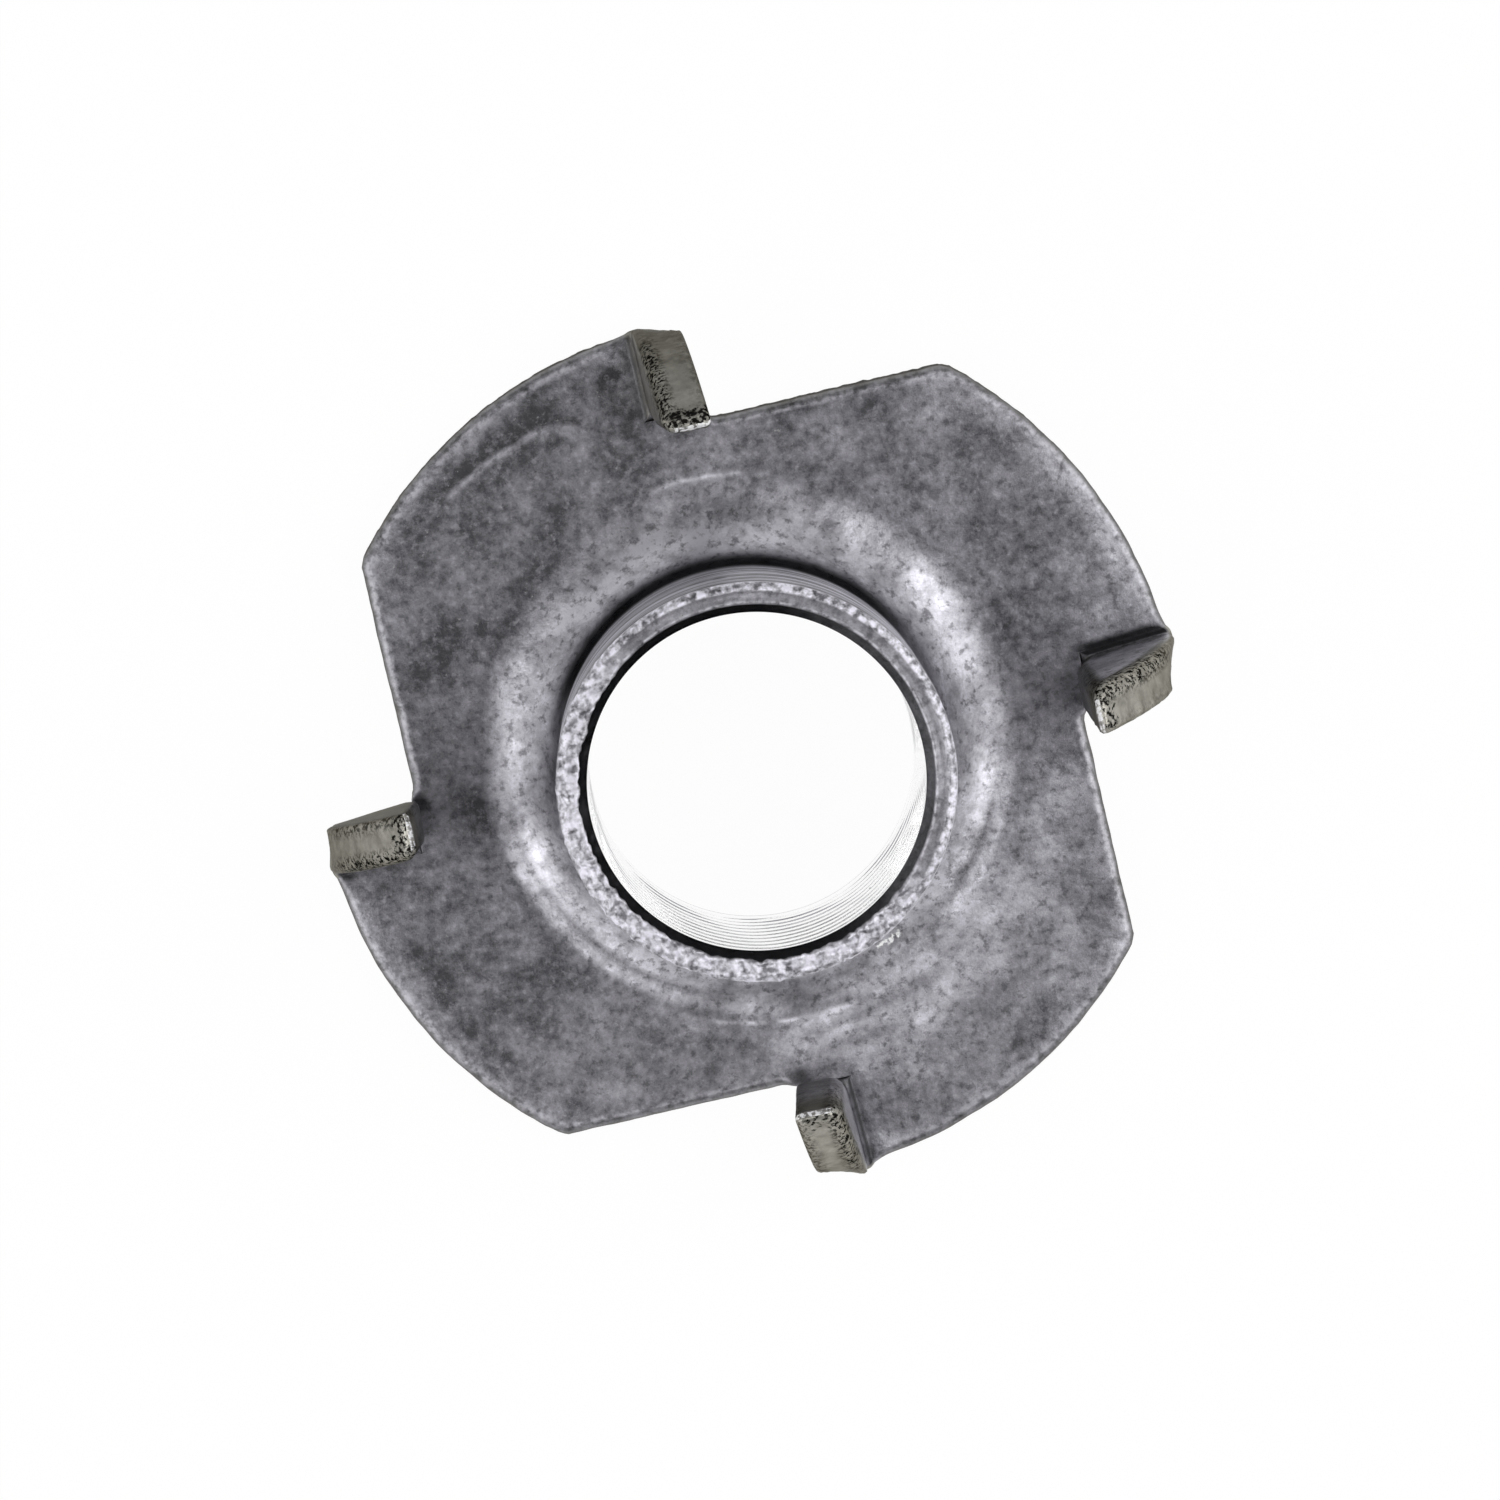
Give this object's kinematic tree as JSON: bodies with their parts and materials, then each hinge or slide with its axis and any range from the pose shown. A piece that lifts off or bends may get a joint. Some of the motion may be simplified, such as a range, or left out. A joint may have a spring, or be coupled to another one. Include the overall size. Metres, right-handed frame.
{
  "type": "tee nut",
  "caption": "Pronged tee nut pressed from steel sheet: a round flange with folded-up prongs that grip wood, and a drawn barrel with a bore for a fine thread.",
  "frame": {"origin": "centre of the flat back of the flange, on the axis of the barrel", "axes": "+Z along the barrel toward its open end and the tips of the prongs, +X through the first prong, +Y a quarter turn on, through the next prong"},
  "size_m": [0.022, 0.022, 0.011],
  "materials": {
    "steel": "dull mottled grey steel with worn bright edges and bare sheared faces"
  },
  "bodies": {
    "root": {"tee_nut": "steel"}
  },
  "joints": []
}
